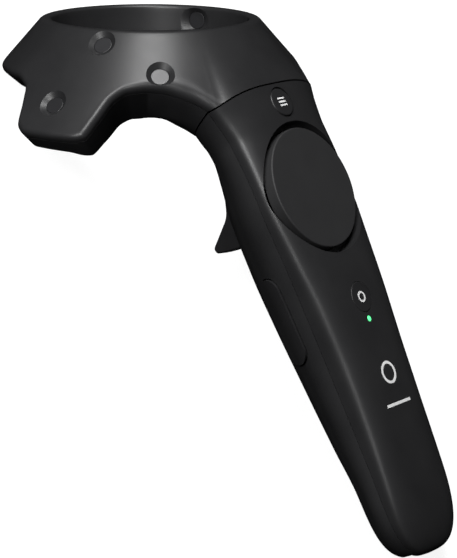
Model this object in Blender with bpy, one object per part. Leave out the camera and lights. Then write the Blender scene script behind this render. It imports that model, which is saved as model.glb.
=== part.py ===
"""A one-handed VR motion controller, lying on a table with its trackpad up.

All sizes below are in millimetres in the controller's own frame: X across the handle, Y from the
sensor ring to the tail, Z out of the trackpad's face, with the centre of that face at the origin.
The sensor ring has its own cone axis, leaning back from the handle.  The empty called "controller"
tilts everything down onto the table, in metres.
"""

import math

import bmesh
import bpy
from mathutils import Euler, Matrix, Vector

MM = 0.001
GAP = 0.3
NECK_GAP = 0.5
WALL = 2.0

# how the controller lies on the table
REST_TILT = math.radians(-17.4)
REST_PLACE = (0.0, -0.00414, 0.05303)

# sensor ring: a cone-shaped flange round a round hole
RING_LEAN = math.radians(26.0)
RING_CENTRE = Vector((0.0, -72.8, -38.1))
RIM_INNER = 32.3
RIM_OUTER = 35.6
CONE_SLOPE = 0.87
RING_DEPTH = 12.0
UPPER_EDGE = 3.0
# the ring's outline: angle from the front in degrees, radius of the cone's lower edge
RING_OUTLINE = (
    (0, 43.4), (20, 45.2), (42, 49.3), (66, 49.3), (76, 51.1), (80, 55.0), (84, 60.5), (88, 61.9),
    (104, 62.3), (108, 61.5), (111, 57.4), (115, 52.2), (120, 50.9), (128, 50.4), (138, 50.2), (144, 50.4),
)
# thickness of the flange square to its cone, by the same angle
FLANGE_DEPTH = ((0, 9.0), (76, 9.0), (88, 9.8), (104, 9.8), (120, 13.0), (144, 13.5))
NECK_START = 144.0
NECK_BLEND = 20.0

# handle: values along its length, from the neck to where the tail starts to round off
STATIONS = (-35.8, -31.0, -26.0, -20.0, -10.0, 0.0, 20.0, 38.0, 60.0, 80.0, 96.0, 122.0)
HALF_WIDTH = (27.4, 25.2, 23.8, 22.9, 22.8, 22.8, 20.9, 18.9, 17.2, 16.6, 16.5, 16.4)
TOP_HEIGHT = (-1.4, -0.9, -0.4, 0.1, 0.5, 0.7, 1.4, 2.1, 1.8, 1.0, 0.0, -2.0)
SEAM_HEIGHT = (-12.4, -11.2, -9.9, -8.6, -7.0, -6.3, -6.4, -6.9, -7.2, -6.8, -6.4, -6.6)
BELLY_DEPTH = (16.4, 16.6, 17.0, 18.0, 21.0, 23.3, 23.4, 21.9, 19.5, 17.3, 15.0, 13.6)
TOP_SQUARENESS = (2.1, 2.3, 2.6, 2.9, 3.3, 3.4, 3.8, 4.0, 4.0, 4.0, 4.0, 3.6)
BELLY_SQUARENESS = (2.0, 2.1, 2.2, 2.3, 2.3, 2.3, 2.3, 2.3, 2.3, 2.3, 2.3, 2.3)
NECK_BOW = 3.3
NECK_BOW_END = -14.0
TAIL_START = 96.0
TAIL_LENGTH = 25.0
TAIL_PLAN_POWER = 3.0
TAIL_TOP_POWER = 2.4
TAIL_BELLY_POWER = 4.0
TAIL_FLAT = 119.4

# controls on the face
PAD_RADIUS = 20.0
PAD_THICK = 3.9
PAD_CLEAR = 0.35
DISH_RADIUS = 22.3
DISH_FLOOR = -4.2
PAD_CEILING = -6.0
MENU_PLACE = (0.0, -29.0, -0.7)
MENU_TILT = math.radians(9.0)
SYSTEM_PLACE = (0.0, 37.8, 2.1)
SYSTEM_TILT = math.radians(1.3)
BUTTON_RADIUS = 4.95
BUTTON_CLEAR = 0.3
BUTTON_DEPTH = 4.0
LIGHT_PLACE = (0.0, 45.1, 2.0)
LIGHT_RADIUS = 0.95

# trigger and grips
TRIGGER_PIVOT = (-13.0, -21.5)
TRIGGER_HALF_WIDTH = 6.5
TRIGGER_PIN_RADIUS = 1.25
# side view of the trigger, (Y, Z) from its pivot
TRIGGER_OUTLINE = (
    (-3.6, 0.0), (-2.6, 2.6), (0.0, 3.6), (12.0, 1.5), (21.0, -2.6), (21.6, -9.5), (20.6, -16.0),
    (19.6, -20.2), (18.4, -20.4), (15.5, -16.5), (11.5, -11.6), (6.0, -9.8), (1.6, -7.4), (-1.4, -5.2),
    (-3.0, -3.0),
)
SPRING_TURNS = 5
SPRING_RADIUS = 2.2
SPRING_WIRE = 0.35
SPRING_FOOT = -19.1
GRIP_CENTRE = (37.0, -16.6)
GRIP_LENGTH = 29.0
GRIP_WIDTH = 9.0
GRIP_PROUD = 0.9
GRIP_CLEAR = 0.45

# inside
FRAME_TOP = -11.2
FRAME_THICK = 1.6
FRAME_HALF_WIDTH = 12.8
FRAME_ENDS = (-29.0, 96.0)
SCREW_RADIUS = 1.0
SCREW_HOLE_RADIUS = 1.2
SCREW_HEAD_RADIUS = 2.0
SCREW_HEAD_THICK = 1.3
# plain boxes inside the handle: name, low corner, high corner, finish
INSIDE_BOXES = (
    ("main_board", (-12.4, 29.5, -9.9), (12.4, 84.5, -8.9), "board"),
    ("menu_switch", (-2.5, -31.5, -10.8), (2.5, -26.5, -5.4), "dark"),
    ("system_switch", (-2.5, 35.3, -8.6), (2.5, 40.3, -2.6), "dark"),
    ("battery_cell", (-7.4, 40.0, -19.4), (7.4, 82.0, -13.4), "foil"),
    ("haptic_motor", (-5.0, 20.0, -22.0), (5.0, 34.0, -13.4), "metal"),
    ("trigger_sensor", (-3.0, -26.0, -20.0), (3.0, -20.5, -13.2), "dark"),
    ("usb_board", (-6.5, 99.0, -16.0), (6.5, 113.5, -14.9), "board"),
    ("radio_antenna", (-9.0, 99.0, -9.2), (9.0, 106.0, -8.6), "board"),
)
USB_SHELL = ((-3.8, 111.5, -14.5), (3.8, 118.9, -11.6))
USB_MOUTH = ((-3.3, 114.0, -14.0), (3.3, 125.0, -12.1))
SCREW_PLACES = ((11.5, -24.5), (-11.5, -24.5), (11.5, 26.0), (-11.5, 26.0), (10.0, 88.0), (-10.0, 88.0))

# tracking sensors, by angle from the front: the cone's radius there, and for the underside the
# share of the way from the round hole to the outer edge
OUTER_SENSORS = ((20, 40.2), (94, 54.2), (105, 38.9), (132, 46.2))
INNER_SENSORS = (80, 140)
UNDER_SENSORS = ((30, 0.55), (92, 0.45), (125, 0.55))
SENSOR_RADIUS = 2.8
SENSOR_THICK = 2.0
SENSOR_SINK = 0.9
INNER_SENSOR_HEIGHT = -4.9


# ---------------------------------------------------------------- plain geometry helpers
def clamp(value):
    return max(0.0, min(1.0, value))


def smoothstep(value):
    value = clamp(value)
    return value * value * (3.0 - 2.0 * value)


def lerp(a, b, share):
    return a + (b - a) * share


def table(x, places, values):
    """A smooth curve without overshoot through hand-picked values."""
    if x <= places[0]:
        return values[0]
    if x >= places[-1]:
        return values[-1]
    spans = [b - a for a, b in zip(places, places[1:])]
    slopes = [(b - a) / span for a, b, span in zip(values, values[1:], spans)]
    tangents = [slopes[0]]
    for before, after in zip(slopes, slopes[1:]):
        same_way = before * after > 0.0
        tangents.append(2.0 * before * after / (before + after) if same_way else 0.0)
    tangents.append(slopes[-1])
    index = max(i for i, place in enumerate(places[:-1]) if x >= place)
    span = spans[index]
    t = (x - places[index]) / span
    return (
        values[index] * (1 + 2 * t) * (1 - t) ** 2
        + tangents[index] * span * t * (1 - t) ** 2
        + values[index + 1] * t * t * (3 - 2 * t)
        + tangents[index + 1] * span * t * t * (t - 1)
    )


def superpower(value, power):
    return math.copysign(abs(value) ** (2.0 / power), value)


# ---------------------------------------------------------------- scene helpers
def clear_scene():
    for thing in list(bpy.data.objects):
        bpy.data.objects.remove(thing, do_unlink=True)


def make_material(name, colour, roughness, metallic=0.0):
    material = bpy.data.materials.new(name)
    material.use_nodes = True
    shader = material.node_tree.nodes["Principled BSDF"]
    shader.inputs["Base Color"].default_value = (*colour, 1.0)
    shader.inputs["Roughness"].default_value = roughness
    shader.inputs["Metallic"].default_value = metallic
    return material


def make_object(name, bm, material, parent, place=(0.0, 0.0, 0.0), turn=(0.0, 0.0, 0.0), layer=None):
    """Turn a bmesh in millimetres into a named object in metres."""
    bmesh.ops.scale(bm, vec=(MM, MM, MM), verts=bm.verts)
    bmesh.ops.recalc_face_normals(bm, faces=bm.faces)
    mesh = bpy.data.meshes.new(name)
    bm.to_mesh(mesh)
    bm.free()
    thing = bpy.data.objects.new(name, mesh)
    if material:
        mesh.materials.append(material)
    (layer or bpy.context.scene.collection).objects.link(thing)
    thing.parent = parent
    thing.location = Vector(place) * MM
    thing.rotation_euler = turn
    return thing


def cutter(name, bm, place=(0.0, 0.0, 0.0), turn=(0.0, 0.0, 0.0)):
    thing = make_object(name, bm, None, ROOT, place, turn, CUTTERS)
    thing.hide_render = True
    thing.display_type = "WIRE"
    return thing


def cut(target, tool, operation="DIFFERENCE"):
    boolean = target.modifiers.new(tool.name, "BOOLEAN")
    boolean.operation = operation
    boolean.solver = "EXACT"
    boolean.object = tool


def loft(rings):
    """Skin a row of rings into one closed body; a ring of one point closes to a tip."""
    bm = bmesh.new()
    rows = [[bm.verts.new(point) for point in ring] for ring in rings]
    for before, after in zip(rows, rows[1:]):
        count = max(len(before), len(after))
        for i in range(count):
            j = (i + 1) % count
            if len(after) == 1:
                bm.faces.new((before[i], before[j], after[0]))
            elif len(before) == 1:
                bm.faces.new((before[0], after[j], after[i]))
            else:
                bm.faces.new((before[i], before[j], after[j], after[i]))
    for row in (rows[0], rows[-1]):
        if len(row) > 1:
            bm.faces.new(row)
    return bm


def closed_sweep(rings):
    """Skin rings that run right round and meet again."""
    bm = bmesh.new()
    rows = [[bm.verts.new(point) for point in ring] for ring in rings]
    for before, after in zip(rows, rows[1:] + rows[:1]):
        for i in range(len(before)):
            j = (i + 1) % len(before)
            bm.faces.new((before[i], before[j], after[j], after[i]))
    return bm


def box(low, high):
    bm = bmesh.new()
    bmesh.ops.create_cube(bm, size=1.0)
    size = [b - a for a, b in zip(low, high)]
    middle = [(a + b) / 2 for a, b in zip(low, high)]
    bmesh.ops.scale(bm, vec=size, verts=bm.verts)
    bmesh.ops.translate(bm, vec=middle, verts=bm.verts)
    return bm


def rod(radius, low, high, sides=32, axis="Z"):
    bm = bmesh.new()
    bmesh.ops.create_cone(
        bm, cap_ends=True, segments=sides, radius1=radius, radius2=radius, depth=high - low
    )
    bmesh.ops.translate(bm, vec=(0.0, 0.0, (low + high) / 2), verts=bm.verts)
    if axis == "X":
        bmesh.ops.rotate(bm, matrix=Matrix.Rotation(math.pi / 2, 3, "Y"), verts=bm.verts)
    return bm


def prism(outline, low, high):
    """A flat (Y, Z) outline drawn out along X."""
    return loft([[(low, y, z) for y, z in outline], [(high, y, z) for y, z in outline]])


# ---------------------------------------------------------------- handle shape
def tail_share(y):
    return clamp((y - TAIL_START) / TAIL_LENGTH)


def rounded_off(share, power):
    return max(0.0, 1.0 - share**power) ** (1.0 / power)


def seam_height(y):
    return table(y, STATIONS, SEAM_HEIGHT)


def half_width(y):
    return table(y, STATIONS, HALF_WIDTH) * rounded_off(tail_share(y), TAIL_PLAN_POWER)


def top_height(y):
    seam = seam_height(y)
    return seam + (table(y, STATIONS, TOP_HEIGHT) - seam) * rounded_off(tail_share(y), TAIL_TOP_POWER)


def belly_depth(y):
    return table(y, STATIONS, BELLY_DEPTH) * rounded_off(tail_share(y), TAIL_BELLY_POWER)


def neck_bow(y, across):
    """How far a section near the neck bends toward the tail at its sides."""
    fade = 1.0 - smoothstep((y - STATIONS[0]) / (NECK_BOW_END - STATIONS[0]))
    return NECK_BOW * fade * min(1.0, abs(across)) ** 3


def top_point(y, angle, inset=0.0, ceiling=99.0):
    """A point on the handle's upper skin; angle runs 0 to pi from the left seam to the right."""
    seam = seam_height(y)
    squareness = table(y, STATIONS, TOP_SQUARENESS)
    width = half_width(y) - inset
    height = min(top_height(y) - inset, ceiling) - seam
    x = width * superpower(math.cos(angle), squareness)
    z = seam + height * superpower(math.sin(angle), squareness)
    return Vector((x, y + neck_bow(y, x / max(width, 1.0)), z))


def belly_point(y, angle, inset=0.0, grow=0.0):
    """A point on the handle's lower skin; angle runs 0 to pi from the left seam to the right."""
    squareness = table(y, STATIONS, BELLY_SQUARENESS)
    width = half_width(y) - inset + grow
    depth = belly_depth(y) - inset + grow
    x = width * superpower(math.cos(angle), squareness)
    z = seam_height(y) - GAP - depth * superpower(math.sin(angle), squareness)
    return Vector((x, y + neck_bow(y, x / max(width, 1.0)), z))


def arc_angles(count):
    return [math.pi * i / (count - 1) for i in range(count)]


def station_list(start, tail_end, tail_steps=7):
    straight = [start, -31, -26, -20, -14, -7, 0, 7, 14, 20, 26, 32, 38, 46, 54, 62, 72, 84, TAIL_START]
    reach = tail_end - TAIL_START
    turns = [math.pi / 2 * (i + 1) / tail_steps for i in range(tail_steps - 1)]
    return straight + [TAIL_START + reach * math.sin(turn) for turn in turns]


# ---------------------------------------------------------------- ring shape
def ring_point(angle, radius, height):
    """Ring coordinates to the controller's frame; angle in degrees from the front toward +X."""
    turn = math.radians(angle)
    up = -radius * math.cos(turn)
    return RING_CENTRE + Vector(
        (
            radius * math.sin(turn),
            up * math.sin(RING_LEAN) - height * math.cos(RING_LEAN),
            up * math.cos(RING_LEAN) + height * math.sin(RING_LEAN),
        )
    )


CONE_LENGTH = math.hypot(1.0, CONE_SLOPE)
CONE_ALONG = (CONE_SLOPE / CONE_LENGTH, -1.0 / CONE_LENGTH)
CONE_OUT = (1.0 / CONE_LENGTH, CONE_SLOPE / CONE_LENGTH)


def cone_profile(radius, sink=0.0, back=0.0):
    """Radius and height of a point under the cone face, sunk along its normal and drawn back."""
    height = (RIM_OUTER - radius) / CONE_SLOPE
    return (
        radius - sink * CONE_OUT[0] - back * CONE_ALONG[0],
        height - sink * CONE_OUT[1] - back * CONE_ALONG[1],
    )


def folded(angle):
    """The same place on either side of the ring, 0 at the front to 180 at the handle."""
    return abs((angle + 180.0) % 360.0 - 180.0)


def outline_radius(angle):
    return table(folded(angle), *zip(*RING_OUTLINE))


def flange_depth(angle):
    return table(folded(angle), *zip(*FLANGE_DEPTH))


def neck_share(angle):
    """0 on the free flange, 1 where the ring runs into the handle."""
    return smoothstep((folded(angle) - NECK_START + NECK_BLEND) / NECK_BLEND)


def neck_angle(angle):
    """The place on the neck's section that a ring angle runs into, 0 to pi."""
    return math.pi * clamp((angle - NECK_START) / (360.0 - 2 * NECK_START))


def ring_angles():
    """Ring angles, closer together where the outline turns."""
    side = [0, 8, 16, 24, 31, 37, 42, 47, 54, 61, 67, 72, 76, 78.5, 80.5, 82.5, 85, 88, 92, 97, 102, 105.5]
    side += [108, 110, 112, 114, 117, 121, 126, 132, 138, 144]
    neck = [lerp(NECK_START, 360.0 - NECK_START, step / 16) for step in range(1, 16)]
    return side + neck + [360.0 - place for place in reversed(side[1:])]


def on_ring(angle, profile):
    return ring_point(angle, profile[0], profile[1])


def upper_ring(angle):
    """One closed slice of the ring's upper shell."""
    edge = outline_radius(angle)
    start = RIM_OUTER + 0.7
    outer = [(RIM_INNER - 0.3, 0.15 - RING_DEPTH), (RIM_INNER, -1.4), (RIM_INNER + 0.9, -0.3)]
    outer += [(RIM_OUTER - 0.9, 0.0), cone_profile(start)]
    outer += [cone_profile(lerp(start, edge, share)) for share in (0.25, 0.5, 0.75, 0.95)]
    outer += [cone_profile(edge, 0.7), cone_profile(edge, UPPER_EDGE)]
    inner = [cone_profile(edge, UPPER_EDGE, WALL), cone_profile(edge, WALL, WALL)]
    inner += [cone_profile(lerp(start, edge, share), WALL, WALL * share) for share in (0.75, 0.5, 0.25)]
    inner += [(RIM_INNER + 2.5, -4.2), (RIM_INNER + 2.0, 0.15 - RING_DEPTH)]
    flange = [on_ring(angle, profile) for profile in outer + inner]
    share = neck_share(angle)
    if share == 0.0:
        return flange
    section = neck_angle(angle)
    start_y = STATIONS[0]
    end = top_point(start_y, section)
    inside = top_point(start_y, section, WALL)
    outer_start, inner_start = flange[4], on_ring(angle, cone_profile(start + 0.6, WALL, 0.0))
    neck = flange[:5]
    neck += [cone_toward(outer_start, end, part, 0.0) for part in (0.25, 0.5, 0.75, 0.9, 0.96, 1.0)]
    neck += [cone_toward(inner_start, inside, part, WALL) for part in (1.0, 0.96, 0.75, 0.5, 0.25)]
    neck += flange[-2:]
    return [free.lerp(held, share) for free, held in zip(flange, neck)]


def cone_toward(start, end, share, sink):
    """A point part of the way from the rim to the neck, following the cone and easing onto the neck."""
    first, last = ring_coordinates(start), ring_coordinates(end)
    angle = lerp(first[0], last[0], share)
    radius = lerp(first[1], last[1], share)
    grown = radius + sink * CONE_OUT[0]
    on_cone = on_ring(angle, cone_profile(grown, sink))
    last_cone = on_ring(last[0], cone_profile(last[1] + sink * CONE_OUT[0], sink))
    return on_cone + (end - last_cone) * share**2


def ring_coordinates(point):
    """Angle, radius and height of a point about the ring's axis."""
    offset = point - RING_CENTRE
    up = offset.y * math.sin(RING_LEAN) + offset.z * math.cos(RING_LEAN)
    height = -offset.y * math.cos(RING_LEAN) + offset.z * math.sin(RING_LEAN)
    angle = math.degrees(math.atan2(offset.x, -up)) % 360.0
    return angle, math.hypot(offset.x, up), height


def lower_ring(angle):
    """One closed slice of the ring's underside shell."""
    edge = outline_radius(angle)
    foot = -0.15 - RING_DEPTH
    outer = [(RIM_INNER - 0.3, foot), (RIM_INNER - 0.1, foot - 1.2)]
    outer += [between(underside_ends(angle), share) for share in (0.0, 0.33, 0.67, 1.0)]
    depth = flange_depth(angle)
    outer += [cone_profile(edge, depth - 1.0, 0.3), cone_profile(edge, UPPER_EDGE + GAP)]
    inner = [cone_profile(edge, UPPER_EDGE + GAP, WALL), cone_profile(edge, depth - WALL, WALL + 0.6)]
    ends = (RIM_INNER + 2.0, foot - 0.8), cone_profile(edge, depth - WALL, WALL + 1.8)
    inner += [between(ends, share) for share in (0.9, 0.5, 0.1)]
    inner += [(RIM_INNER + 2.0, foot)]
    flange = [on_ring(angle, profile) for profile in outer + inner]
    share = neck_share(angle)
    if share == 0.0:
        return flange
    section = neck_angle(angle)
    start_y = STATIONS[0]
    end = belly_point(start_y, section)
    inside = belly_point(start_y, section, WALL)
    run_in, run_inside = end + Vector((0.0, -3.0, 0.3)), inside + Vector((0.0, -3.0, 0.3))
    neck = flange[:2]
    neck += [flange[1].lerp(run_in, part) for part in (0.12, 0.4, 0.7, 0.92)]
    neck += [run_in.lerp(end, 0.35), end]
    neck += [inside, run_inside.lerp(inside, 0.35)]
    neck += [flange[-1].lerp(run_inside, part) for part in (0.9, 0.55, 0.15)]
    neck += flange[-1:]
    return [free.lerp(held, share) for free, held in zip(flange, neck)]


def underside_ends(angle):
    """The underside's straight run, from beside the round hole to the outer edge."""
    beside_hole = (RIM_INNER + 1.0, -2.35 - RING_DEPTH)
    return beside_hole, cone_profile(outline_radius(angle), flange_depth(angle), 1.4)


def between(ends, share):
    return tuple(lerp(a, b, share) for a, b in zip(*ends))


def sensor_pose(angle, reach, side):
    """Where a sensor's face lies and which way it looks: place and turn."""
    if side == "outer":
        profile, way = cone_profile(reach, SENSOR_SINK), CONE_OUT
    elif side == "inner":
        profile, way = (RIM_INNER + SENSOR_SINK, INNER_SENSOR_HEIGHT), (-1.0, 0.0)
    else:
        near, far = underside_ends(angle)
        length = math.hypot(far[0] - near[0], far[1] - near[1])
        way = ((far[1] - near[1]) / length, (near[0] - far[0]) / length)
        middle = between((near, far), reach)
        profile = (middle[0] - way[0] * SENSOR_SINK, middle[1] - way[1] * SENSOR_SINK)
    place = on_ring(angle, profile)
    ahead = on_ring(angle, (profile[0] + way[0], profile[1] + way[1]))
    turn = (ahead - place).to_track_quat("Z", "Y").to_euler()
    return place, turn


# ---------------------------------------------------------------- casings
def front_cover(material):
    angles = arc_angles(21)
    outer = []
    for y in station_list(STATIONS[0] + NECK_GAP, TAIL_START + TAIL_LENGTH):
        outer.append([top_point(y, angle) for angle in angles])
    tip = TAIL_START + TAIL_LENGTH
    outer.append([Vector((0.0, tip, seam_height(tip)))])
    cover = make_object("handle_front_cover", loft(outer), material, ROOT)

    inner = []
    stations = [STATIONS[0] - 6.0, STATIONS[0]] + station_list(-34.0, TAIL_START + TAIL_LENGTH - WALL)
    for y in sorted(stations + [-24.5, -23.5, 23.5, 24.5]):
        ceiling = PAD_CEILING if abs(y) < 24.0 else 99.0
        clipped = max(y, STATIONS[0])
        shift = Vector((0.0, y - clipped, 0.0))
        ring = [top_point(clipped, angle, WALL, ceiling) + shift for angle in angles]
        low = Vector((0.0, 0.0, -1.5))
        inner.append([ring[0] + low] + ring + [ring[-1] + low])
    cut(cover, cutter("front_cavity", loft(inner)))

    for index, (x, y) in enumerate(SCREW_PLACES):
        post = rod(2.6, FRAME_TOP + GAP, top_height(y) - 1.2 - abs(x) * 0.02, 20)
        tool = cutter(f"screw_post_{index + 1}", post, (x, y, 0.0))
        cut(cover, tool, "UNION")
    for index, (x, y) in enumerate(SCREW_PLACES):
        hole = rod(1.2, FRAME_TOP - 2.0, FRAME_TOP + 6.0, 16)
        cut(cover, cutter(f"screw_pilot_{index + 1}", hole, (x, y, 0.0)))

    cut(cover, cutter("pad_dish", rod(DISH_RADIUS, DISH_FLOOR, 8.0, 64)))
    cut(cover, cutter("pad_hole", rod(PAD_RADIUS + PAD_CLEAR, -12.0, 8.0, 64)))
    hole = rod(BUTTON_RADIUS + BUTTON_CLEAR, -8.0, 6.0, 40)
    cut(cover, cutter("menu_hole", hole, MENU_PLACE, (MENU_TILT, 0.0, 0.0)))
    hole = rod(BUTTON_RADIUS + BUTTON_CLEAR, -6.0, 6.0, 40)
    cut(cover, cutter("system_hole", hole, SYSTEM_PLACE, (-SYSTEM_TILT, 0.0, 0.0)))
    hole = rod(LIGHT_RADIUS + 0.15, -6.0, 6.0, 20)
    cut(cover, cutter("light_hole", hole, LIGHT_PLACE))
    return cover


def belly_solid(grow, start, tail_end, angles):
    rings = []
    for y in station_list(start, tail_end):
        rings.append([belly_point(y, angle, grow=grow) for angle in angles])
    rings.append([Vector((0.0, tail_end, seam_height(tail_end) - GAP))])
    return rings


def rear_cover(material):
    angles = arc_angles(21)
    tail = TAIL_START + TAIL_LENGTH
    cover = make_object(
        "handle_rear_cover", loft(belly_solid(0.0, STATIONS[0] + NECK_GAP, tail, angles)), material, ROOT
    )
    inner = []
    stations = [STATIONS[0] - 6.0, STATIONS[0]] + station_list(-34.0, tail - WALL - 1.6)
    for y in sorted(stations):
        clipped = max(y, STATIONS[0])
        ring = [belly_point(clipped, angle, WALL) + Vector((0.0, y - clipped, 0.0)) for angle in angles]
        high = Vector((0.0, 0.0, 1.5))
        inner.append([ring[0] + high] + ring + [ring[-1] + high])
    cut(cover, cutter("rear_cavity", loft(inner)))
    cut(cover, cutter("tail_flat", box((-30.0, TAIL_FLAT, -40.0), (30.0, 140.0, seam_height(tail) - 1.6))))
    cut(cover, cutter("usb_slot", box((-4.3, 110.0, -15.0), (4.3, 130.0, -11.0))))
    slot = TRIGGER_HALF_WIDTH + 0.6
    cut(cover, cutter("trigger_slot", box((-slot, -17.5, -60.0), (slot, 15.5, -20.0))))
    for side, name in ((1, "left"), (-1, "right")):
        hole = grip_prism(side, GRIP_CLEAR)
        cut(cover, cutter(f"grip_hole_{name}", hole))
    return cover


def grip_prism(side, grow):
    """A capsule outline, drawn out along X through one side of the handle."""
    radius = GRIP_WIDTH / 2 + grow
    reach = GRIP_LENGTH / 2 - GRIP_WIDTH / 2
    outline = []
    for end in (1, -1):
        for step in range(9):
            turn = math.pi * step / 8 - math.pi / 2 + (0.0 if end > 0 else math.pi)
            outline.append(
                (
                    GRIP_CENTRE[0] + end * reach + radius * math.cos(turn),
                    GRIP_CENTRE[1] + radius * math.sin(turn),
                )
            )
    low, high = (11.0, 30.0) if side > 0 else (-30.0, -11.0)
    return prism(outline, low, high)


def ring_shells(upper_material, lower_material):
    angles = ring_angles()
    upper = closed_sweep([upper_ring(angle) for angle in angles])
    lower = closed_sweep([lower_ring(angle) for angle in angles])
    return (
        make_object("head_shell_upper", upper, upper_material, ROOT),
        make_object("head_shell_lower", lower, lower_material, ROOT),
    )


def flex_board(material):
    """The thin ring board that joins the sensors under the cone."""
    rings = []
    for step in range(48):
        angle = 360.0 * step / 48
        corners = (
            cone_profile(38.6, 3.0), cone_profile(41.4, 3.0), cone_profile(41.4, 3.6), cone_profile(38.6, 3.6)
        )
        rings.append([on_ring(angle, corner) for corner in corners])
    return make_object("head_flex_board", closed_sweep(rings), material, ROOT)


def sensors(upper, lower, material):
    """Sensor windows, mirrored on both sides of the ring, each in its own hole."""
    wanted = [(angle, radius, "outer", upper) for angle, radius in OUTER_SENSORS]
    wanted += [(angle, RIM_INNER, "inner", upper) for angle in INNER_SENSORS]
    wanted += [(angle, share, "under", lower) for angle, share in UNDER_SENSORS]
    number = 0
    for angle, reach, side, shell in wanted:
        for mirrored in (angle, 360.0 - angle):
            number += 1
            place, turn = sensor_pose(mirrored, reach, side)
            window = rod(SENSOR_RADIUS, -SENSOR_THICK, 0.0, 20)
            make_object(f"tracking_sensor_{number:02d}", window, material, ROOT, place, turn)
            hole = rod(SENSOR_RADIUS + 0.2, -SENSOR_THICK - 0.4, 3.0, 20)
            cut(shell, cutter(f"sensor_hole_{number:02d}", hole, place, turn))


# ---------------------------------------------------------------- controls
def trackpad(disc_material, board_material, switch_material):
    disc = rod(PAD_RADIUS, -PAD_THICK, 0.0, 64)
    make_object("trackpad_disc", disc, disc_material, ROOT)
    make_object("trackpad_board", rod(PAD_RADIUS - 2.0, -1.0, 0.0, 40), board_material, ROOT,
                (0.0, 0.0, -PAD_THICK - GAP))
    switch_height = -PAD_THICK - GAP - 1.0 - 0.9
    make_object("trackpad_switch", box((-3.0, -3.0, FRAME_TOP + GAP), (3.0, 3.0, switch_height)),
                switch_material, ROOT)


def face_button(name, place, tilt, proud, material):
    cap = rod(BUTTON_RADIUS, proud - BUTTON_DEPTH, proud, 40)
    return make_object(name, cap, material, ROOT, place, (tilt, 0.0, 0.0))


def trigger(material, steel, bracket_material):
    y, z = TRIGGER_PIVOT
    blade = prism(TRIGGER_OUTLINE, -TRIGGER_HALF_WIDTH, TRIGGER_HALF_WIDTH)
    lever = make_object("trigger", blade, material, ROOT, (0.0, y, z))
    cut(lever, cutter("trigger_bore", rod(TRIGGER_PIN_RADIUS + 0.1, -20.0, 20.0, 24, "X"), (0.0, y, z)))
    pin = rod(TRIGGER_PIN_RADIUS, -9.2, 9.2, 24, "X")
    make_object("trigger_pin", pin, steel, ROOT, (0.0, y, z))

    cheeks = box((-9.2, -3.6, -2.0), (9.2, 5.0, 8.2))
    bracket = make_object("trigger_bracket", cheeks, bracket_material, ROOT, (0.0, y, z))
    inside = TRIGGER_HALF_WIDTH + 0.5
    cut(bracket, cutter("bracket_space", box((-inside, -9.0, -9.0), (inside, 9.0, 6.4)), (0.0, y, z)))
    hole = rod(TRIGGER_PIN_RADIUS + 0.1, -20.0, 20.0, 24, "X")
    cut(bracket, cutter("bracket_bore", hole, (0.0, y, z)))


def trigger_spring(material):
    """A small compression spring between the trigger and the frame above it."""
    top = FRAME_TOP - FRAME_THICK - GAP - SPRING_WIRE
    curve = bpy.data.curves.new("trigger_spring", "CURVE")
    curve.dimensions = "3D"
    curve.bevel_depth = SPRING_WIRE * MM
    curve.bevel_resolution = 1
    curve.resolution_u = 1
    curve.use_fill_caps = True
    line = curve.splines.new("POLY")
    steps = SPRING_TURNS * 12
    line.points.add(steps)
    for step in range(steps + 1):
        turn = 2 * math.pi * step / 12
        height = lerp(SPRING_FOOT, top, step / steps)
        place = Vector((SPRING_RADIUS * math.cos(turn), SPRING_RADIUS * math.sin(turn), height)) * MM
        line.points[step].co = (*place, 1.0)
    spring = bpy.data.objects.new("trigger_spring", curve)
    bpy.context.scene.collection.objects.link(spring)
    spring.data.materials.append(material)
    spring.parent = ROOT
    spring.location = Vector((0.0, -1.0, 0.0)) * MM
    return spring


def grips(material, switch_material):
    angles = arc_angles(33)
    tail = TAIL_START + TAIL_LENGTH
    for side, name in ((1, "left"), (-1, "right")):
        grip = make_object(f"grip_button_{name}", grip_prism(side, 0.0), material, ROOT)
        skin = loft(belly_solid(GRIP_PROUD, STATIONS[0] + NECK_GAP, tail, angles))
        cut(grip, cutter(f"grip_skin_{name}", skin), "INTERSECT")
        core = loft(belly_solid(-2.8, STATIONS[0] + NECK_GAP, tail - 8.0, angles))
        cut(grip, cutter(f"grip_core_{name}", core))
        near, far = 9.4, 11.2
        low = (near, 34.0, -19.0) if side > 0 else (-far, 34.0, -19.0)
        high = (far, 40.0, -14.5) if side > 0 else (-near, 40.0, -14.5)
        make_object(f"grip_switch_{name}", box(low, high), switch_material, ROOT)


# ---------------------------------------------------------------- inside
def inner_frame(material):
    low = FRAME_TOP - FRAME_THICK
    front, back = FRAME_ENDS
    plate = box((-FRAME_HALF_WIDTH, front, low), (FRAME_HALF_WIDTH, back, FRAME_TOP))
    frame = make_object("inner_frame", plate, material, ROOT)
    for index, (x, y) in enumerate(SCREW_PLACES):
        hole = rod(SCREW_HOLE_RADIUS, -30.0, 0.0, 16)
        cut(frame, cutter(f"frame_hole_{index + 1}", hole, (x, y, 0.0)))
    return frame


def frame_screws(material):
    low = FRAME_TOP - FRAME_THICK
    for index, (x, y) in enumerate(SCREW_PLACES):
        bm = rod(SCREW_RADIUS, low - 0.9, FRAME_TOP + 4.5, 16)
        screw = make_object(f"frame_screw_{index + 1}", bm, material, ROOT, (x, y, 0.0))
        head = rod(SCREW_HEAD_RADIUS, low - GAP - SCREW_HEAD_THICK, low - GAP, 16)
        cut(screw, cutter(f"screw_head_{index + 1}", head, (x, y, 0.0)), "UNION")


def electronics(board, dark, metal, foil):
    finish = {"board": board, "dark": dark, "foil": foil, "metal": metal}
    for name, low, high, kind in INSIDE_BOXES:
        make_object(name, box(low, high), finish[kind], ROOT)
    usb = make_object("usb_connector", box(*USB_SHELL), metal, ROOT)
    cut(usb, cutter("usb_mouth", box(*USB_MOUTH)))


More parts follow.
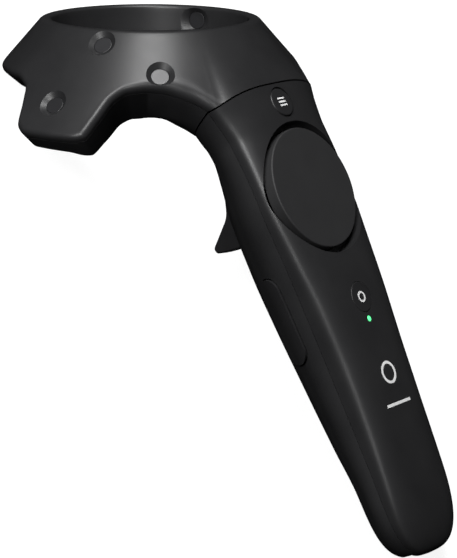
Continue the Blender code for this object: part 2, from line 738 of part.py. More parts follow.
def build():
    shell = make_material("satin black plastic", (0.022, 0.022, 0.024), 0.42)
    pad_face = make_material("matte black touch face", (0.025, 0.025, 0.027), 0.6)
    button = make_material("black button plastic", (0.02, 0.02, 0.022), 0.45)
    window = make_material("dark infrared window", (0.03, 0.03, 0.032), 0.25)
    board = make_material("green circuit board", (0.02, 0.16, 0.07), 0.5)
    dark = make_material("black switch body", (0.03, 0.03, 0.03), 0.5)
    steel = make_material("plain steel", (0.55, 0.55, 0.56), 0.35, 1.0)
    foil = make_material("battery foil", (0.5, 0.5, 0.52), 0.4, 0.6)
    chassis = make_material("grey chassis plastic", (0.12, 0.12, 0.13), 0.6)
    glow = make_material("green light pipe", (0.3, 0.8, 0.25), 0.3)

    upper, lower = ring_shells(shell, shell)
    sensors(upper, lower, window)
    flex_board(board)
    front_cover(shell)
    rear_cover(shell)
    trackpad(pad_face, board, dark)
    face_button("menu_button", MENU_PLACE, MENU_TILT, 0.5, button)
    face_button("system_button", SYSTEM_PLACE, -SYSTEM_TILT, 0.05, button)
    light = rod(LIGHT_RADIUS, -4.0, 0.02, 20)
    make_object("status_light_pipe", light, glow, ROOT, LIGHT_PLACE)
    trigger(button, steel, chassis)
    trigger_spring(steel)
    grips(button, dark)
    inner_frame(chassis)
    frame_screws(steel)
    electronics(board, dark, steel, foil)


clear_scene()
CUTTERS = bpy.data.collections.new("cutters")
bpy.context.scene.collection.children.link(CUTTERS)
ROOT = bpy.data.objects.new("controller", None)
bpy.context.scene.collection.objects.link(ROOT)
ROOT.rotation_euler = Euler((REST_TILT, 0.0, 0.0))
ROOT.location = REST_PLACE
build()
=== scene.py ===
"""The finished look of a one-handed VR motion controller lying on a table with its trackpad up.

Shapes are worked out in millimetres in the controller's own frame (X across the handle, Y from the
sensor ring to the tail, Z out of the trackpad's face, zero at the centre of that face), then laid
down onto the table in metres.
"""

import math

import bmesh
import bpy
from mathutils import Matrix, Vector

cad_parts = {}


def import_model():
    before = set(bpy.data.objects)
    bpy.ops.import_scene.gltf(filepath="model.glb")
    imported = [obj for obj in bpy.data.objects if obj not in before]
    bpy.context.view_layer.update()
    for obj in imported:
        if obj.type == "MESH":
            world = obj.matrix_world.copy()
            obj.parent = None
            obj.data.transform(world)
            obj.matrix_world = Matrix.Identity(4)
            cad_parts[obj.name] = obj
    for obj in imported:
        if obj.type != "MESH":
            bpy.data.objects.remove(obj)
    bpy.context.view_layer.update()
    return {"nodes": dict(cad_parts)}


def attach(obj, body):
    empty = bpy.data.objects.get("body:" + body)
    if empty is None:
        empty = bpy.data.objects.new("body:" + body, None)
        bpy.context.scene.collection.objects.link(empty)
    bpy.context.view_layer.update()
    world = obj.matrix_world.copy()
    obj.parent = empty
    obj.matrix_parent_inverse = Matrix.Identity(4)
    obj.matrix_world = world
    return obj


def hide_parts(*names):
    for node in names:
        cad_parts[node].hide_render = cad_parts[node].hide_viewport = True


MM = 0.001
GAP = 0.3
NECK_GAP = 0.5
WALL = 2.0
SEAM = 0.16

# how the controller lies on the table
REST_TILT = math.radians(-17.4)
REST_PLACE = (0.0, -0.00414, 0.05303)
FLOOR_HEIGHT = -0.0007
TO_TABLE = Matrix.Translation(REST_PLACE) @ Matrix.Rotation(REST_TILT, 4, "X") @ Matrix.Scale(MM, 4)

# sensor ring: a cone-shaped flange round a round hole
RING_LEAN = math.radians(26.0)
RING_CENTRE = Vector((0.0, -72.8, -38.1))
RIM_INNER = 32.3
RIM_OUTER = 35.6
CONE_SLOPE = 0.87
RING_DEPTH = 12.0
UPPER_EDGE = ((0, 2.6), (116, 2.6), (128, 3.1), (140, 3.6), (148.6, 3.85))
EDGE_ROUND = ((0, 1.9), (116, 2.0), (128, 2.8), (140, 3.5), (148.6, 3.8))
LOWER_ROUND = ((0, 1.5), (110, 1.5), (130, 2.5), (150, 4.5))
RING_OUTLINE = (
    (0, 43.3), (20, 45.2), (42, 49.3), (66, 49.3), (76, 51.1), (80, 55.0), (84, 60.5), (88, 61.85),
    (104, 62.1), (108, 61.4), (111, 57.4), (115, 52.2), (120, 50.0), (128, 49.3), (134, 49.7), (140, 50.9),
    (144, 51.9), (148.6, 53.93), (154, 57.0),
)
FLANGE_DEPTH = (
    (0, 9.2), (76, 9.2), (88, 9.5), (100, 9.8), (108, 12.5), (114, 16.0), (124, 19.5), (134, 20.0),
    (150, 19.0),
)
# room left between the underside's inner corner and the round hole
CORE_ROOM = 7.5
# where the ring runs into the handle: ring angle, blend before it, the belly's corner and its slant
NECK_START = 148.6
NECK_BLEND = 22.0
NECK_CORNER = math.radians(52.0)
NECK_SLANT = 0.45
RIM_ROUND = 1.1
CONE_STEPS = 16
FILLET_STEPS = 8

# handle: values along its length, from the neck to where the tail starts to round off
STATIONS = (-35.8, -31.0, -26.0, -20.0, -10.0, 0.0, 20.0, 38.0, 60.0, 80.0, 96.0, 122.0)
HALF_WIDTH = (26.6, 25.0, 23.8, 22.9, 22.8, 22.8, 20.9, 18.9, 17.2, 16.6, 16.5, 16.4)
TOP_HEIGHT = (-0.7, -0.5, -0.2, 0.1, 0.5, 0.7, 1.4, 2.1, 1.8, 1.0, 0.0, -2.0)
SEAM_HEIGHT = (-9.3, -9.0, -8.6, -8.1, -7.0, -6.3, -6.4, -6.9, -7.2, -6.8, -6.4, -6.6)
BELLY_DEPTH = (19.4, 18.6, 18.0, 18.0, 20.2, 22.6, 23.2, 21.9, 19.5, 17.3, 15.0, 13.6)
TOP_SQUARENESS = (2.6, 2.7, 2.85, 3.0, 3.3, 3.4, 3.8, 4.0, 4.0, 4.0, 4.0, 3.6)
BELLY_SQUARENESS = (2.0, 2.1, 2.2, 2.3, 2.3, 2.3, 2.3, 2.3, 2.3, 2.3, 2.3, 2.3)
BELLY_BULGE = 0.5
BULGE_REACH = 0.5
NECK_BOW = 3.3
NECK_BOW_END = -14.0
TAIL_START = 96.0
TAIL_LENGTH = 24.85
TAIL_PLAN_POWER = 3.0
TAIL_TOP_POWER = 2.4
TAIL_BELLY_POWER = 4.0
TAIL_FLAT = 119.4
# opening for the charging socket
SOCKET_HALF_WIDTH = 4.3
SOCKET_HEIGHT = (-15.0, -11.0)

# controls on the face
PAD_RADIUS = 20.0
PAD_THICK = 3.9
PAD_CLEAR = 0.35
DISH_RADIUS = 22.3
DISH_FLOOR = -4.2
PAD_CEILING = -6.0
MENU_PLACE = (0.0, -29.0, -0.7)
MENU_TILT = math.radians(9.0)
MENU_PROUD = 0.5
SYSTEM_PLACE = (0.0, 37.8, 2.1)
SYSTEM_TILT = math.radians(-1.3)
SYSTEM_PROUD = 0.05
BUTTON_RADIUS = 4.95
BUTTON_DEPTH = 4.0
BUTTON_CLEAR = 0.16
LIGHT_PLACE = (0.0, 45.1, 2.0)
LIGHT_RADIUS = 0.95
LIGHT_HOLE = 1.02

# plain marks printed below the light
MARK_PLACE = (0.0, 63.1)
MARK_RADIUS = 3.7
MARK_STROKE = 0.95
BAR_PLACE = 73.2
BAR_REACH = 6.5

# trigger and grips
TRIGGER_PIVOT = (-13.0, -21.5)
TRIGGER_HALF_WIDTH = 6.5
TRIGGER_PIN_RADIUS = 1.25
TRIGGER_SLOT_CLEAR = 0.6
TRIGGER_SLOT = (-17.5, 15.5)
TRIGGER_OUTLINE = (
    (-3.6, 0.0), (-2.6, 2.6), (0.0, 3.6), (12.0, 1.5), (21.4, -2.6), (22.6, -9.5), (21.9, -16.0),
    (20.9, -20.4), (19.4, -20.8), (15.8, -16.5), (11.5, -11.6), (6.0, -9.8), (1.6, -7.4), (-1.4, -5.2),
    (-3.0, -3.0),
)
GRIP_CENTRE = (37.0, -16.6)
GRIP_LENGTH = 29.0
GRIP_WIDTH = 9.0
GRIP_PROUD = 0.9
GRIP_CLEAR = 0.38
GRIP_THICK = 2.8
GRIP_SPAN = (11.0, 30.0)

# tracking sensors, by angle from the front
OUTER_SENSORS = ((20, 40.2), (94, 54.2), (105, 38.9), (132, 46.2))
INNER_SENSORS = (80, 140)
UNDER_SENSORS = ((30, 0.55), (92, 0.45), (125, 0.55))
SENSOR_RADIUS = 2.8
INNER_SENSOR_HEIGHT = -4.9
DIMPLE_RADIUS = 4.7
DIMPLE_FLOOR_RADIUS = 2.95
DIMPLE_DEPTH = 1.25
WINDOW_THICK = 1.6

# where the camera stands and looks, in the controller's frame
CAMERA_PLACE = Vector((667.11, 60.13, 479.19))
CAMERA_RIGHT = Vector((-0.5937, 0.3473, 0.7259))
CAMERA_DOWN = Vector((0.1771, 0.9363, -0.3031))
CAMERA_LENS = 167.5

# plain studio light
AMBIENT = 0.028
BACKDROP = 0.95
FRONT_POWER = 15.0
SIDE_POWER = 7.0


# ---------------------------------------------------------------- plain helpers
def clamp(value):
    return max(0.0, min(1.0, value))


def smoothstep(value):
    value = clamp(value)
    return value * value * (3.0 - 2.0 * value)


def lerp(a, b, share):
    return a + (b - a) * share


def spread(low, high, count):
    """Evenly spaced values from low to high, both included."""
    return [lerp(low, high, i / (count - 1)) for i in range(count)]


def table(x, places, values):
    """A smooth curve without overshoot through listed values."""
    if x <= places[0]:
        return values[0]
    if x >= places[-1]:
        return values[-1]
    spans = [b - a for a, b in zip(places, places[1:])]
    slopes = [(b - a) / span for a, b, span in zip(values, values[1:], spans)]
    tangents = [slopes[0]]
    for before, after in zip(slopes, slopes[1:]):
        same_way = before * after > 0.0
        tangents.append(2.0 * before * after / (before + after) if same_way else 0.0)
    tangents.append(slopes[-1])
    index = max(i for i, place in enumerate(places[:-1]) if x >= place)
    span = spans[index]
    t = (x - places[index]) / span
    return (
        values[index] * (1 + 2 * t) * (1 - t) ** 2
        + tangents[index] * span * t * (1 - t) ** 2
        + values[index + 1] * t * t * (3 - 2 * t)
        + tangents[index + 1] * span * t * t * (t - 1)
    )


def superpower(value, power):
    return math.copysign(abs(value) ** (2.0 / power), value)


# ---------------------------------------------------------------- mesh helpers
def mesh_from(bm, name):
    bmesh.ops.recalc_face_normals(bm, faces=bm.faces)
    mesh = bpy.data.meshes.new(name)
    bm.to_mesh(mesh)
    bm.free()
    return mesh


def loft(rings):
    """Skin a row of rings into one closed body; a ring of one point closes to a tip."""
    bm = bmesh.new()
    rows = [[bm.verts.new(point) for point in ring] for ring in rings]
    for before, after in zip(rows, rows[1:]):
        count = max(len(before), len(after))
        for i in range(count):
            j = (i + 1) % count
            if len(after) == 1:
                bm.faces.new((before[i], before[j], after[0]))
            elif len(before) == 1:
                bm.faces.new((before[0], after[j], after[i]))
            else:
                bm.faces.new((before[i], before[j], after[j], after[i]))
    for row in (rows[0], rows[-1]):
        if len(row) > 1:
            bm.faces.new(row)
    return bm


def closed_sweep(rings):
    """Skin rings that run right round and meet again."""
    bm = bmesh.new()
    rows = [[bm.verts.new(point) for point in ring] for ring in rings]
    for before, after in zip(rows, rows[1:] + rows[:1]):
        for i in range(len(before)):
            j = (i + 1) % len(before)
            bm.faces.new((before[i], before[j], after[j], after[i]))
    return bm


def lathe(profile, sides=64):
    """Turn (radius, height) points about Z; a first or last point at radius 0 closes to a tip."""
    rings = []
    for radius, height in profile:
        if radius == 0.0:
            rings.append([Vector((0.0, 0.0, height))])
            continue
        turns = [2 * math.pi * i / sides for i in range(sides)]
        rings.append([Vector((radius * math.cos(t), radius * math.sin(t), height)) for t in turns])
    return loft(rings)


def rounded(radius, low, high, edge, steps=5):
    """Lathe profile of a disc with a rounded upper edge."""
    profile = [(0.0, low), (radius, low), (radius, high - edge - 0.02)]
    for i in range(steps + 1):
        turn = math.pi / 2 * i / steps
        profile.append((radius - edge + edge * math.cos(turn), high - edge + edge * math.sin(turn)))
    return profile + [(radius - edge - 0.25, high), (radius * 0.5, high), (0.0, high)]


def box(low, high):
    bm = bmesh.new()
    bmesh.ops.create_cube(bm, size=1.0)
    size = [b - a for a, b in zip(low, high)]
    middle = [(a + b) / 2 for a, b in zip(low, high)]
    bmesh.ops.scale(bm, vec=size, verts=bm.verts)
    bmesh.ops.translate(bm, vec=middle, verts=bm.verts)
    return bm


def prism(outline, low, high):
    """A flat (Y, Z) outline drawn out along X."""
    return loft([[Vector((low, y, z)) for y, z in outline], [Vector((high, y, z)) for y, z in outline]])


def placed(bm, place=(0.0, 0.0, 0.0), turn=None):
    bm.transform(Matrix.Translation(place) @ (turn.to_matrix().to_4x4() if turn else Matrix()))
    return bm


def tilted(bm, place, tilt):
    bm.transform(Matrix.Translation(place) @ Matrix.Rotation(tilt, 4, "X"))
    return bm


def joined(bodies):
    """Several bmeshes as one, each still a closed body."""
    whole = bmesh.new()
    for bm in bodies:
        bmesh.ops.recalc_face_normals(bm, faces=bm.faces)
        part = bpy.data.meshes.new("part")
        bm.to_mesh(part)
        bm.free()
        whole.from_mesh(part)
        bpy.data.meshes.remove(part)
    return whole


def boolean(mesh, cuts, operation="DIFFERENCE"):
    """The mesh after one exact cut by each bmesh in turn."""
    scene = bpy.context.scene.collection
    target = bpy.data.objects.new("target", mesh)
    scene.objects.link(target)
    tools = []
    for bm in cuts:
        part = bpy.data.meshes.new("cut")
        bm.to_mesh(part)
        bm.free()
        tool = bpy.data.objects.new("cut", part)
        scene.objects.link(tool)
        modifier = target.modifiers.new("cut", "BOOLEAN")
        modifier.operation = operation
        modifier.solver = "EXACT"
        modifier.use_self = False
        modifier.object = tool
        tools.append(tool)
    graph = bpy.context.evaluated_depsgraph_get()
    result = bpy.data.meshes.new_from_object(target.evaluated_get(graph))
    for thing in tools + [target]:
        bpy.data.objects.remove(thing, do_unlink=True)
    return result


def piece(name, mesh, material, body, nodes, sharp=34.0):
    """Lay a mesh down on the table as a finished piece that rides on a body."""
    mesh.name = name
    mesh.transform(TO_TABLE)
    mesh.materials.clear()
    mesh.materials.append(material)
    mesh.polygons.foreach_set("use_smooth", [True] * len(mesh.polygons))
    mesh.set_sharp_from_angle(angle=math.radians(sharp))
    thing = bpy.data.objects.new(name, mesh)
    bpy.context.scene.collection.objects.link(thing)
    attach(thing, body)
    if nodes:
        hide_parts(*nodes)
    return thing


# ---------------------------------------------------------------- handle shape
def tail_share(y):
    return clamp((y - TAIL_START) / TAIL_LENGTH)


def rounded_off(share, power):
    return max(0.0, 1.0 - share**power) ** (1.0 / power)


def seam_height(y):
    return table(y, STATIONS, SEAM_HEIGHT)


def half_width(y):
    return table(y, STATIONS, HALF_WIDTH) * rounded_off(tail_share(y), TAIL_PLAN_POWER)


def top_height(y):
    seam = seam_height(y)
    return seam + (table(y, STATIONS, TOP_HEIGHT) - seam) * rounded_off(tail_share(y), TAIL_TOP_POWER)


def belly_depth(y):
    return table(y, STATIONS, BELLY_DEPTH) * rounded_off(tail_share(y), TAIL_BELLY_POWER)


def belly_bulge(y, share, angle):
    """How far the side swells just below the seam, none at the neck or round the tail."""
    swell = math.sin(math.pi * min(share / BULGE_REACH, 1.0)) * math.copysign(1.0, math.cos(angle))
    fade = (1.0 - neck_fade(y)) * (1.0 - tail_share(y)) ** 0.5
    return BELLY_BULGE * swell * fade


def neck_fade(y):
    return 1.0 - smoothstep((y - STATIONS[0]) / (NECK_BOW_END - STATIONS[0]))


def neck_bow(y, across):
    """How far a section near the neck bends toward the tail at its sides."""
    return NECK_BOW * neck_fade(y) * min(1.0, abs(across)) ** 3


def top_point(y, angle, inset=0.0, ceiling=99.0):
    """A point on the handle's upper skin; angle runs 0 to pi from the left seam to the right."""
    seam = seam_height(y)
    squareness = table(y, STATIONS, TOP_SQUARENESS)
    width = half_width(y) - inset
    height = min(top_height(y) - inset, ceiling) - seam
    x = width * superpower(math.cos(angle), squareness)
    z = seam + height * superpower(math.sin(angle), squareness)
    return Vector((x, y + neck_bow(y, x / max(width, 1.0)), z))


def belly_point(y, angle, inset=0.0, grow=0.0, seam_gap=GAP):
    """A point on the handle's lower skin; angle runs 0 to pi from the left seam to the right."""
    squareness = table(y, STATIONS, BELLY_SQUARENESS)
    width = half_width(y) - inset + grow
    depth = belly_depth(y) - inset + grow
    share = superpower(math.sin(angle), squareness)
    x = width * superpower(math.cos(angle), squareness) + belly_bulge(y, share, angle)
    z = seam_height(y) - seam_gap - depth * share
    slant = NECK_SLANT * neck_fade(y) * depth * share
    return Vector((x, y + neck_bow(y, x / max(width, 1.0)) + slant, z))


def arc_angles(count):
    """Section angles spaced so that the points lie about evenly along a squarish arch."""
    angles = []
    for share in spread(-1.0, 1.0, count):
        eased = math.copysign(abs(share) ** 1.25, share)
        angles.append(math.pi / 2 * (1.0 + eased))
    angles[0], angles[-1] = 0.0, math.pi
    return angles


def station_list(start, tail_end, step=1.6, tail_steps=26):
    straight = spread(start, TAIL_START, int((TAIL_START - start) / step) + 1)
    reach = tail_end - TAIL_START
    rounded_part = [
        TAIL_START + reach * math.sin(math.pi / 2 * (i + 1) / tail_steps) for i in range(tail_steps - 1)
    ]
    return straight + rounded_part


# ---------------------------------------------------------------- ring shape
def ring_point(angle, radius, height):
    """Ring coordinates to the controller's frame; angle in degrees from the front toward +X."""
    turn = math.radians(angle)
    up = -radius * math.cos(turn)
    return RING_CENTRE + Vector(
        (
            radius * math.sin(turn),
            up * math.sin(RING_LEAN) - height * math.cos(RING_LEAN),
            up * math.cos(RING_LEAN) + height * math.sin(RING_LEAN),
        )
    )


CONE_LENGTH = math.hypot(1.0, CONE_SLOPE)
CONE_ALONG = (CONE_SLOPE / CONE_LENGTH, -1.0 / CONE_LENGTH)
CONE_OUT = (1.0 / CONE_LENGTH, CONE_SLOPE / CONE_LENGTH)


def cone_profile(radius, sink=0.0, back=0.0):
    """Radius and height of a point under the cone face, sunk along its normal and drawn back."""
    height = (RIM_OUTER - radius) / CONE_SLOPE
    return (
        radius - sink * CONE_OUT[0] - back * CONE_ALONG[0],
        height - sink * CONE_OUT[1] - back * CONE_ALONG[1],
    )


def folded(angle):
    """The same place on either side of the ring, 0 at the front to 180 at the handle."""
    return abs((angle + 180.0) % 360.0 - 180.0)


def outline_radius(angle):
    return table(folded(angle), *zip(*RING_OUTLINE))


def flange_depth(angle):
    return table(folded(angle), *zip(*FLANGE_DEPTH))


def edge_table(values, angle):
    return table(folded(angle), *zip(*values))


def neck_share(angle):
    """0 on the free flange, 1 where the ring meets the handle's side."""
    return smoothstep((folded(angle) - NECK_START + NECK_BLEND) / NECK_BLEND)


def neck_section(share):
    """The place on the neck's section, 0 to pi, for a share of the way across it."""
    eased = math.copysign(abs(2.0 * share - 1.0) ** 1.25, 2.0 * share - 1.0)
    return math.pi / 2 * (1.0 + eased)


def ring_stops():
    """Where the ring is sliced: (angle, None) on the flange, (angle, share) across the neck."""
    side, angle = [], 0.0
    while angle < NECK_START:
        side.append(angle)
        angle += 0.5 if 72.0 <= angle < 122.0 else 1.5
    side.append(NECK_START)
    neck = []
    for share in spread(0.0, 1.0, 61)[1:-1]:
        neck.append((lerp(NECK_START, 360.0 - NECK_START, share), share))
    left = [(place, None) for place in side]
    return left + neck + [(360.0 - place, None) for place in reversed(side[1:])]


def on_ring(angle, profile):
    return ring_point(angle, profile[0], profile[1])


def ring_coordinates(point):
    """Angle, radius and height of a point about the ring's axis."""
    offset = point - RING_CENTRE
    up = offset.y * math.sin(RING_LEAN) + offset.z * math.cos(RING_LEAN)
    height = -offset.y * math.cos(RING_LEAN) + offset.z * math.sin(RING_LEAN)
    angle = math.degrees(math.atan2(offset.x, -up)) % 360.0
    return angle, math.hypot(offset.x, up), height


def cone_normal(angle):
    return (on_ring(angle, cone_profile(45.0, -1.0)) - on_ring(angle, cone_profile(45.0))).normalized()


def edge_frame(angle):
    """The flange's edge point, the cone's normal there and the way back into the flange."""
    edge = on_ring(angle, cone_profile(outline_radius(angle)))
    after = on_ring(angle + 0.3, cone_profile(outline_radius(angle + 0.3)))
    before = on_ring(angle - 0.3, cone_profile(outline_radius(angle - 0.3)))
    normal = cone_normal(angle)
    back = normal.cross(after - before).normalized()
    rim = on_ring(angle, cone_profile(RIM_OUTER))
    if back.dot(rim - edge) < 0.0:
        back = -back
    return edge, normal, back


def rim_profile():
    """The rim from inside the hole, over its rounded top and onto the cone."""
    profile = [(RIM_INNER - 0.3, 0.15 - RING_DEPTH), (RIM_INNER - 0.12, -6.0), (RIM_INNER, -2.6)]
    for turn in spread(math.pi, math.pi / 2, 7):
        profile.append((RIM_INNER + RIM_ROUND * (1 + math.cos(turn)), RIM_ROUND * (math.sin(turn) - 1)))
    bend = math.atan2(CONE_ALONG[1], CONE_ALONG[0])
    radius = 2.35
    start = RIM_OUTER - radius * math.tan(-bend / 2)
    for turn in spread(0.0, bend, 7):
        profile.append((start + radius * math.sin(-turn), radius * (math.cos(turn) - 1)))
    return profile


def cone_sink(point):
    """How far a point lies under the cone's face, along the face's normal."""
    radius, height = ring_coordinates(point)[1:]
    level = (RIM_OUTER - radius) / CONE_SLOPE
    return (level - height) * CONE_OUT[1]


def upper_free(angle):
    """One closed slice of the ring's upper shell where the flange is free."""
    rim = [on_ring(angle, profile) for profile in rim_profile()]
    edge, normal, back = edge_frame(angle)
    bend = edge_table(EDGE_ROUND, angle)
    target = ring_coordinates(edge + back * (bend + 0.35))
    start = ring_coordinates(rim[-1])
    swing = (target[0] - start[0] + 180.0) % 360.0 - 180.0
    face = []
    for share in spread(0.0, 1.0, CONE_STEPS)[1:]:
        radius = lerp(start[1], target[1], share)
        face.append(on_ring(start[0] + swing * share**2, cone_profile(radius)))
    fillet = []
    for turn in spread(0.0, math.pi / 2, FILLET_STEPS):
        fillet.append(edge + back * bend * (1 - math.sin(turn)) - normal * bend * (1 - math.cos(turn)))
    low = edge_table(UPPER_EDGE, angle)
    fillet += [edge - normal * (low - 0.03), edge - normal * low + back * 0.1]
    begin = RIM_OUTER + 0.7
    drawn = outline_radius(angle)
    inner = [on_ring(angle, cone_profile(drawn, sink, WALL * 1.4)) for sink in (low, WALL + bend / 4)]
    for share in (0.7, 0.4):
        inner.append(on_ring(angle, cone_profile(lerp(begin, drawn, share), WALL, WALL * share)))
    inner += [on_ring(angle, (RIM_INNER + 2.5, -4.2)), on_ring(angle, (RIM_INNER + 2.0, 0.15 - RING_DEPTH))]
    return rim + face + fillet + inner


def edge_curve():
    """The flange's edge on one side as it runs up to the neck and a little beyond it."""
    points = [edge_frame(angle)[0] for angle in spread(NECK_START - 40.0, NECK_START, 81)]
    onward = (points[-1] - points[-4]).normalized()
    return points + [points[-1] + onward * reach for reach in spread(0.5, 14.0, 28)]


def edge_distance(point, curve):
    return min((Vector((abs(point.x), point.y, point.z)) - place).length for place in curve)


def upper_neck(share, curve):
    """One closed slice of the ring's upper shell where it runs into the handle."""
    section = neck_section(share)
    end = top_point(STATIONS[0], section)
    angle, radius, _ = ring_coordinates(end)
    sink = cone_sink(end)
    radius += sink * CONE_OUT[0]
    normal = cone_normal(angle)
    rim = [on_ring(angle, profile) for profile in rim_profile()]
    first = ring_coordinates(rim[-1])[1]
    bend = EDGE_ROUND[-1][1]
    lead = radius - bend - 0.35
    radii = [lerp(first, lead, part) for part in spread(0.0, 1.0, CONE_STEPS)[1:]]
    radii += [radius - bend * (1 - math.sin(turn)) for turn in spread(0.0, math.pi / 2, FILLET_STEPS + 2)]

    def drop(place):
        inward = bend - min(edge_distance(place, curve), bend)
        return bend - math.sqrt(max(bend * bend - inward * inward, 0.0))

    last_drop = drop(on_ring(angle, cone_profile(radius)))
    outer = []
    for place in radii:
        point = on_ring(angle, cone_profile(place))
        part = clamp((place - first) / (radius - first))
        outer.append(point - normal * (drop(point) + (sink - last_drop) * part**2))
    outer[-1] = end
    inside = top_point(STATIONS[0], section, WALL)
    begin = RIM_OUTER + 1.3
    inner = [inside]
    for part in (0.85, 0.6, 0.3):
        point = on_ring(angle, cone_profile(lerp(begin, radius, part), WALL))
        inner.append(point - normal * sink * part**2)
    inner += [on_ring(angle, (RIM_INNER + 2.5, -4.2)), on_ring(angle, (RIM_INNER + 2.0, 0.15 - RING_DEPTH))]
    return rim + outer + inner


def with_neck(angle, free, neck_slice):
    """A free slice eased toward the slice wanted where the flange meets the neck."""
    share = neck_share(angle)
    if share == 0.0:
        return free(angle)
    side = NECK_START if angle < 180.0 else 360.0 - NECK_START
    wanted = neck_slice(side)
    return [point + (goal - plain) * share for point, goal, plain in zip(free(angle), wanted, free(side))]


def upper_ring(angle, share, curve):
    if share is None:
        return with_neck(angle, upper_free, lambda side: upper_neck(0.0 if side < 180.0 else 1.0, curve))
    return upper_neck(share, curve)


def underside_ends(angle):
    """The underside's straight run, from beside the round hole to the outer edge."""
    beside_hole = (RIM_INNER + 1.0, -2.35 - RING_DEPTH)
    return beside_hole, cone_profile(outline_radius(angle), flange_depth(angle), 1.4)


def between(ends, share):
    return tuple(lerp(a, b, share) for a, b in zip(*ends))


def hole_foot(angle):
    """The underside's rounded edge round the hole, from inside the hole."""
    foot = -0.15 - RING_DEPTH
    points = [on_ring(angle, (RIM_INNER - 0.3, foot))]
    for turn in spread(math.pi, math.pi * 1.5, 5):
        points.append(
            on_ring(angle, (RIM_INNER + 1.0 * (1 + math.cos(turn)) - 0.2, foot - 1.2 + 1.0 * math.sin(turn)))
        )
    return points


def lower_free(angle):
    """One closed slice of the ring's underside shell where the flange is free."""
    foot = -0.15 - RING_DEPTH
    depth = flange_depth(angle)
    edge, normal, back = edge_frame(angle)
    outer = hole_foot(angle)
    near, far = underside_ends(angle)
    outer += [on_ring(angle, between((near, far), share)) for share in spread(0.1, 0.9, 9)]
    corner = edge_table(LOWER_ROUND, angle)
    for turn in spread(0.0, math.pi / 2, 7):
        outer.append(
            edge
            - normal * (depth - corner + corner * math.cos(turn))
            + back * (corner * (1 - math.sin(turn)) + 0.1)
        )
    high = edge_table(UPPER_EDGE, angle) + SEAM
    outer += [edge - normal * (high + 0.2), edge - normal * high + back * 0.15]
    drawn = outline_radius(angle)
    deepest = min(depth - WALL * 1.5, (drawn - RIM_INNER - CORE_ROOM) / CONE_OUT[0])
    inner = [on_ring(angle, cone_profile(drawn, high, WALL * 1.4))]
    inner.append(on_ring(angle, cone_profile(drawn, deepest, WALL * 1.6)))
    ends = (RIM_INNER + 2.0, foot - 0.8), cone_profile(drawn, deepest, WALL * 1.9)
    inner += [on_ring(angle, between(ends, share)) for share in (0.9, 0.5, 0.1)]
    inner += [on_ring(angle, (RIM_INNER + 2.0, foot))]
    return outer + inner


def eased_run(start, end, along, share):
    """A point of a curve from start that arrives at end in the direction along."""
    bend = end - along * 7.0
    return start.lerp(bend, share).lerp(bend.lerp(end, share), share)


def lower_neck(angle, share):
    """One closed slice of the ring's underside shell where it runs into the handle."""
    section = lerp(NECK_CORNER, math.pi - NECK_CORNER, share)
    start_y = STATIONS[0]
    end = belly_point(start_y, section, seam_gap=SEAM)
    along = (belly_point(start_y + 1.5, section, seam_gap=SEAM) - end).normalized()
    inside = belly_point(start_y, section, WALL)
    outer = hole_foot(angle)
    at_side = share in (0.0, 1.0)
    outer += [eased_run(outer[5], end, along, part) for part in spread(0.1, 0.93 if at_side else 0.97, 9)]
    hole = on_ring(angle, (RIM_INNER + 2.0, -0.15 - RING_DEPTH))
    if at_side:
        last = 0.0 if share == 0.0 else math.pi
        for part in spread(0.0, 1.0, 9):
            outer.append(belly_point(start_y, lerp(section, last, part), seam_gap=SEAM))
        inner = [belly_point(start_y, lerp(section, last, part), WALL) for part in (0.95, 0.5)]
        inner += [eased_run(hole, inner[-1], along, part) for part in (0.7, 0.4, 0.12)]
    else:
        outer += [eased_run(outer[5], end, along, part) for part in spread(0.972, 1.0, 9)]
        inner = [inside] + [eased_run(hole, inside, along, part) for part in (0.92, 0.8, 0.45, 0.15)]
    return outer + inner + [hole]


def lower_ring(angle, share):
    if share is None:
        return with_neck(angle, lower_free, lambda side: lower_neck(side, 0.0 if side < 180.0 else 1.0))
    return lower_neck(angle, share)


def sensor_pose(angle, reach, side):
    """Where a sensor's dimple meets the surface and which way it looks: place and turn."""
    if side == "outer":
        profile, way = cone_profile(reach), CONE_OUT
    elif side == "inner":
        profile, way = (RIM_INNER - 0.1, INNER_SENSOR_HEIGHT), (-1.0, 0.0)
    else:
        near, far = underside_ends(angle)
        length = math.hypot(far[0] - near[0], far[1] - near[1])
        way = ((far[1] - near[1]) / length, (near[0] - far[0]) / length)
        profile = between((near, far), reach)
    place = on_ring(angle, profile)
    ahead = on_ring(angle, (profile[0] + way[0], profile[1] + way[1]))
    return place, (ahead - place).to_track_quat("Z", "Y")


# ---------------------------------------------------------------- materials
def shader_nodes(name):
    material = bpy.data.materials.new(name)
    material.use_nodes = True
    tree = material.node_tree
    return material, tree.nodes, tree.links, tree.nodes["Principled BSDF"]


